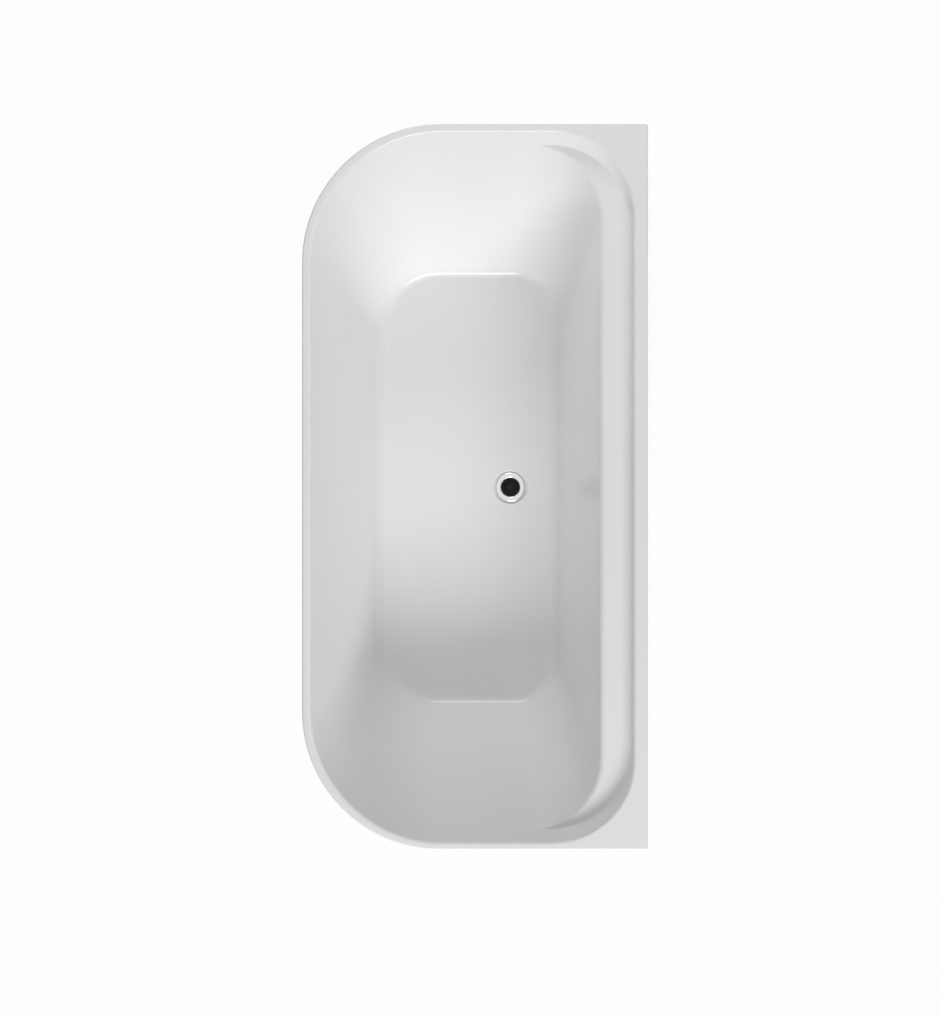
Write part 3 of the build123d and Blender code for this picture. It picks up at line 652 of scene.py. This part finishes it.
def makeFlange():
    bm = bmesh.new()
    top, end = wasteHigh.z, wasteLow.z
    base, seat, edge = top - waste["flangeThickness"], top - waste["seatDepth"], waste["seatEdge"]
    outer, inner = waste["flangeRadius"], waste["seatRadius"]
    tail, bore = waste["tailRadius"], waste["tailBore"]
    profile = [(bore, seat), (inner - edge, seat), (inner, seat + edge)]
    profile += [(inner + out, top - down) for out, down in waste["lip"]]
    profile += [(outer - back, top - down) for back, down in waste["rim"]]
    profile += [(outer, base), (tail, base)]
    # the tail's thread: one tooth for each pitch
    pitch, root = waste["threadPitch"], tail - waste["threadDepth"]
    cut, flat, rise = (pitch * share for share in waste["threadTooth"])
    z = base - waste["threadStart"]
    while z - pitch > end + waste["threadEnd"]:
        profile += [(tail, z), (root, z - cut), (root, z - flat), (tail, z - rise)]
        z -= pitch
    edge = waste["tailEdge"]
    profile += [(tail, end + edge), (tail - edge, end), (bore, end)]
    addTurned(bm, profile, wastePlace, waste["steps"])
    # three arms across the tail carry the ring that holds the plug's cartridge
    armTop = top - waste["armDrop"]
    armLow, edge = armTop - waste["armHeight"], waste["hubEdge"]
    hub, hole = waste["hubRadius"], waste["hubBore"]
    ring = [(hole, armTop), (hub - edge, armTop), (hub, armTop - edge), (hub, armLow), (hole, armLow)]
    addTurned(bm, ring, wastePlace, waste["hubSteps"])
    half, (near, far) = waste["armWidth"] / 2, waste["armRoots"]
    for number in range(waste["arms"]):
        angle = 2 * pi * number / waste["arms"]
        addBar(bm, (hub - near, -half, armLow), (bore + far, half, armTop), wastePlace, angle)
    addPiece("wasteFlange", bm, "root", ("chrome",), "waste_flange", 30, True)


def makePlugCap():
    bm = bmesh.new()
    low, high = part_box("plug_cap")
    out, edge, crown, toe = plug["radius"], plug["edge"], plug["crown"], plug["footEdge"]
    profile = [(out * share, high.z - crown * share**2) for share in plug["crownShares"]]
    for step in range(plug["edgeSteps"] + 1):
        angle = pi / 2 * step / plug["edgeSteps"]
        profile.append((out - edge * (1 - sin(angle)), high.z - crown - edge * (1 - cos(angle))))
    profile += [(out, low.z + toe), (out - toe, low.z), (0.0, low.z)]
    addTurned(bm, profile, wastePlace, waste["steps"])
    addPiece("plugCap", bm, "plug", ("plug",), "plug_cap", 40)


makeFlange()
makePlugCap()
print("waste made")


# levelling feet
foot = {
    "padRadius": 0.027, "padHeight": 0.008, "hubRadius": 0.013, "hubHeight": 0.020, "padSteps": 72,
    # the pad's tread: shares of its radius, and heights
    "tread": (
        (0.0, 0.0008), (0.30, 0.0008), (0.33, 0.0), (0.52, 0.0),
        (0.55, 0.0008), (0.66, 0.0008), (0.69, 0.0),
    ),
    # its rim with a groove: steps in, and heights
    "rim": (
        (0.0012, 0.0), (0.0003, 0.0004), (0.0, 0.0012), (0.0, 0.0032),
        (0.0004, 0.0036), (0.0004, 0.0042), (0.0, 0.0046),
    ),
    # its upper edge, the hollow round its hub and the hub's edge: steps across and down or up
    "brow": ((0.0, 0.0022), (0.0006, 0.0008), (0.0022, 0.0002)),
    "hollow": ((0.0060, 0.0), (0.0022, 0.0006), (0.0006, 0.0024), (0.0, 0.0050)),
    "hubEdge": ((0.0, 0.0012), (0.0004, 0.0003), (0.0012, 0.0)),
    "socketRadius": 0.00505, "socketDepth": 0.010, "socketEdge": 0.0006,
    "ribs": 8, "ribHalf": 0.0011, "ribRoot": 0.002, "ribBack": 0.0035, "ribToe": 0.0006,
    "spindleRadius": 0.006, "pitch": 0.00175, "threadDepth": 0.00095, "threadSteps": 28,
    "threadTooth": (0.16, 0.5, 0.66), "threadRoot": 0.0005, "threadMerge": 2e-6, "rimReach": 1e-5,
    "collar": 0.008, "collarBore": 0.004,
    "pinRadius": 0.005, "pinEdge": 0.0004, "pinRoot": 0.001, "pinSteps": 40,
    "tipLength": 0.002, "tipThread": 0.0012, "tipEdge": 0.0008, "tipSteps": 32,
}
nut = {
    "flats": 0.019, "bore": 0.00605, "shoulder": 0.4925, "cone": 28.0, "edge": 0.0004, "steps": 72,
}
footNumbers = range(1, 6)


def footPlace(number):
    low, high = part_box(f"foot_pad_{number}")
    return (low.x + high.x) / 2, (low.y + high.y) / 2


def makePad(number):
    bm = bmesh.new()
    place = footPlace(number)
    out, tall, hub, top = foot["padRadius"], foot["padHeight"], foot["hubRadius"], foot["hubHeight"]
    hole, floor, edge = foot["socketRadius"], top - foot["socketDepth"], foot["socketEdge"]
    profile = [(out * share, z) for share, z in foot["tread"]]
    profile += [(out - back, z) for back, z in foot["rim"]]
    profile += [(out - back, tall - down) for back, down in foot["brow"]]
    profile += [(hub + away, tall + up) for away, up in foot["hollow"]]
    profile += [(hub - back, top - down) for back, down in foot["hubEdge"]]
    profile += [(hole + edge, top), (hole, top - edge), (hole, floor), (0.0, floor)]
    addTurned(bm, profile, place, foot["padSteps"])
    # webs between the hub and the rim, sloping outward
    half, root, back = foot["ribHalf"], foot["ribRoot"], foot["ribBack"]
    low, high = (hub - root, -half, tall - root), (out - back, half, top - back)
    shear = high[2] - tall - foot["ribToe"]
    for count in range(foot["ribs"]):
        addBar(bm, low, high, place, 2 * pi * (count + 0.5) / foot["ribs"], shear)
    name, node = f"footPad{number}", f"foot_pad_{number}"
    addPiece(name, bm, f"pad_{number}", ("black",), node, 35)


def addHexNut(bm, bottom, top, place, bore, coned=True):
    # a spanner nut: six flats, their corners turned off by a cone below and, if coned, above
    steps, reach, shoulder = nut["steps"], nut["flats"] / 2, nut["flats"] * nut["shoulder"]
    rings = (
        (bottom, 1, True, True), (bottom, 1, True, False),
        (top, -1, coned, False), (top, -1, coned, True),
    )
    loops = [addCircle(bm, bottom, bore, steps, place)]
    for z, inward, chamfered, atEnd in rings:
        ring = addCircle(bm, z, 1.0, steps, place)
        for vert in {vert for edge in ring for vert in edge.verts}:
            arm = Vector((vert.co.x - place[0], vert.co.y - place[1], 0)).normalized()
            wide = reach / cos((atan2(arm.y, arm.x) + pi / 6) % (pi / 3) - pi / 6)
            drop = (wide - shoulder) * tan(radians(nut["cone"])) if chamfered else nut["edge"]
            out = min(wide, shoulder) if chamfered else wide - nut["edge"]
            arm *= out if atEnd else wide
            vert.co = Vector((*place, z + (0 if atEnd else inward * drop))) + arm
        loops.append(ring)
    loops.append(addCircle(bm, top, bore, steps, place))
    bridgeAll(bm, loops)


def addThread(bm, bottom, top, place):
    # a helical thread: one line of teeth screwed round the axis, cut square at both ends
    pitch, steps = foot["pitch"], foot["threadSteps"]
    crest, root = foot["spindleRadius"], foot["spindleRadius"] - foot["threadDepth"]
    flat, rise, fall = (pitch * share for share in foot["threadTooth"])
    z = bottom - 2 * pitch
    spots = []
    while z < top + pitch:
        spots += [(root, z), (root, z + flat), (crest, z + rise), (crest, z + fall)]
        z += pitch
    verts = [bm.verts.new((place[0] + out, place[1], height)) for out, height in spots]
    edges = [bm.edges.new(pair) for pair in zip(verts, verts[1:])]
    bmesh.ops.spin(
        bm, geom=verts + edges, cent=(*place, 0), axis=(0, 0, 1), dvec=(0, 0, pitch / steps),
        angle=2 * pi, steps=steps, use_merge=False, use_duplicate=False,
    )
    bmesh.ops.remove_doubles(bm, verts=bm.verts, dist=foot["threadMerge"])
    for height, normal in ((bottom, (0, 0, -1)), (top, (0, 0, 1))):
        bmesh.ops.bisect_plane(
            bm, geom=bm.verts[:] + bm.edges[:] + bm.faces[:], dist=mergeReach,
            plane_co=(0, 0, height), plane_no=normal, clear_outer=True,
        )
        rim = [
            edge for edge in bm.edges if edge.is_boundary
            and all(abs(vert.co.z - height) < foot["rimReach"] for vert in edge.verts)
        ]
        bmesh.ops.holes_fill(bm, edges=rim, sides=0)
    bmesh.ops.recalc_face_normals(bm, faces=bm.faces)


def makeSpindle(number):
    bm = bmesh.new()
    place = footPlace(number)
    name, node = f"footSpindle{number}", f"foot_spindle_{number}"
    low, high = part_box(node)
    hub, pin = foot["hubHeight"], foot["pinRadius"]
    collarTop = hub + foot["collar"]
    addThread(bm, collarTop - foot["threadRoot"], high.z - foot["tipThread"], place)
    tip, start = foot["spindleRadius"] - foot["threadDepth"], high.z - foot["tipLength"]
    edge = foot["tipEdge"]
    point = [(0.0, start), (tip, start), (tip, high.z - edge), (tip - edge, high.z), (0.0, high.z)]
    addTurned(bm, point, place, foot["tipSteps"])
    addHexNut(bm, hub, collarTop, place, foot["collarBore"])
    edge, end = foot["pinEdge"], hub + foot["pinRoot"]
    rod = [(0.0, low.z), (pin - edge, low.z), (pin, low.z + edge), (pin, end), (0.0, end)]
    addTurned(bm, rod, place, foot["pinSteps"])
    addPiece(name, bm, f"spindle_{number}", ("zinc",), node, 30)


def makeNuts(name, node, coned):
    bm = bmesh.new()
    low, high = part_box(node)
    for number in footNumbers:
        addHexNut(bm, low.z, high.z, footPlace(number), nut["bore"], coned)
    addPiece(name, bm, "root", ("zinc",), node, 30)


for number in footNumbers:
    makePad(number)
    makeSpindle(number)
makeNuts("weldNuts", "weld_nuts", False)
makeNuts("lockNuts", "lock_nuts", True)
print("feet made")


# finishes on the solids that stay
steelParts = ("frame_rail", "cross_rail", "skirt_bracket", "wall_bracket")
solidFinish = {
    "board": ["base_board"],
    "galvanised": [name for name in nodes if name.startswith(steelParts)],
    "black": ["rail_end_caps"],
    "zinc": ["cradle_screws", "bracket_screws", "skirt_screws"],
    "rubber": [
        "flange_gasket", "waste_gasket", "plug_seal", "trap_seal", "trap_cup_seal", "outlet_seal",
    ],
    "brass": ["waste_backnut", "clicker_body"],
    "steel": ["plug_spring", "plug_stem"],
    "white": [
        "backnut_washer", "trap_nut", "trap_body", "trap_cup", "outlet_pipe", "outlet_nut",
    ],
}
for key, names in solidFinish.items():
    for name in names:
        nodes[name].data.materials.clear()
        nodes[name].data.materials.append(finish[key])
print("solids finished")


# studio
studio = {
    "floorTone": (0.62, 0.62, 0.62), "ownLight": 0.97, "floorSize": 30.0, "floorDrop": 0.0008,
    "sky": 0.335, "lens": 600.0, "sensor": 36.0, "clip": (1.0, 200.0),
    "seenLength": 2.3814, "centre": (0.0503, -0.0117), "rimHeight": 0.580,
    "keyPlace": (6.9, 1.76, 4.93), "keySize": (4.85, 2.0), "keyPower": 490.0,
    "fillPlace": (-3.0, -0.2, 1.75), "fillSize": (1.4, 0.8), "fillPower": 27.0,
    "aim": (0.0, 0.0, 0.35),
}


def makeFloor():
    bm = bmesh.new()
    down = Matrix.Translation((0, 0, -studio["floorDrop"]))
    bmesh.ops.create_grid(bm, x_segments=2, y_segments=2, size=studio["floorSize"], matrix=down)
    mesh = bpy.data.meshes.new("studioFloor")
    bm.to_mesh(mesh)
    bm.free()
    floor = bpy.data.objects.new("studioFloor", mesh)
    scene.collection.objects.link(floor)
    look = newLook("studioFloor")
    own = look.seenStraight() * studio["ownLight"]
    plain = look.node("ShaderNodeBsdfDiffuse", None, {"Color": (*studio["floorTone"], 1)}, "BSDF")
    glow = {"Color": (1, 1, 1, 1), "Strength": 1.0}
    white = look.node("ShaderNodeEmission", None, glow, "Emission")
    shared = look.node("ShaderNodeMixShader", None, {0: own, 1: plain, 2: white}, "Shader")
    mesh.materials.append(look.close(shared))


def makeSky():
    scene.world = bpy.data.worlds.new("studioSky")
    look = Paint(scene.world, "ShaderNodeOutputWorld")
    own = look.seenStraight()
    soft, white = [
        look.node("ShaderNodeBackground", None, {"Color": (1, 1, 1, 1), "Strength": power}, "Background")
        for power in (studio["sky"], 1.0)
    ]
    look.close(look.node("ShaderNodeMixShader", None, {0: own, 1: soft, 2: white}, "Shader"))


def addLamp(name, place, size, power):
    lamp = bpy.data.lights.new(name, "AREA")
    lamp.shape = "RECTANGLE"
    lamp.size, lamp.size_y = size
    lamp.energy = power
    holder = bpy.data.objects.new(name, lamp)
    holder.location = place
    toward = Vector(studio["aim"]) - Vector(place)
    holder.rotation_euler = toward.to_track_quat("-Z", "Y").to_euler()
    scene.collection.objects.link(holder)


def makeCamera():
    # straight down on the bath, its wall side to the right and its left end at the top
    camera = bpy.data.cameras.new("planCamera")
    camera.lens, camera.sensor_width = studio["lens"], studio["sensor"]
    holder = bpy.data.objects.new("planCamera", camera)
    away = studio["seenLength"] * studio["lens"] / studio["sensor"]
    x, y = studio["centre"]
    holder.matrix_world = Matrix((
        (0, -1, 0, x),
        (1, 0, 0, y),
        (0, 0, 1, studio["rimHeight"] + away),
        (0, 0, 0, 1),
    ))
    camera.clip_start, camera.clip_end = studio["clip"]
    scene.collection.objects.link(holder)
    scene.camera = holder


makeFloor()
makeSky()
addLamp("keySoftbox", studio["keyPlace"], studio["keySize"], studio["keyPower"])
addLamp("fillSoftbox", studio["fillPlace"], studio["fillSize"], studio["fillPower"])
makeCamera()
scene.view_settings.view_transform = "Standard"
print("studio ready")
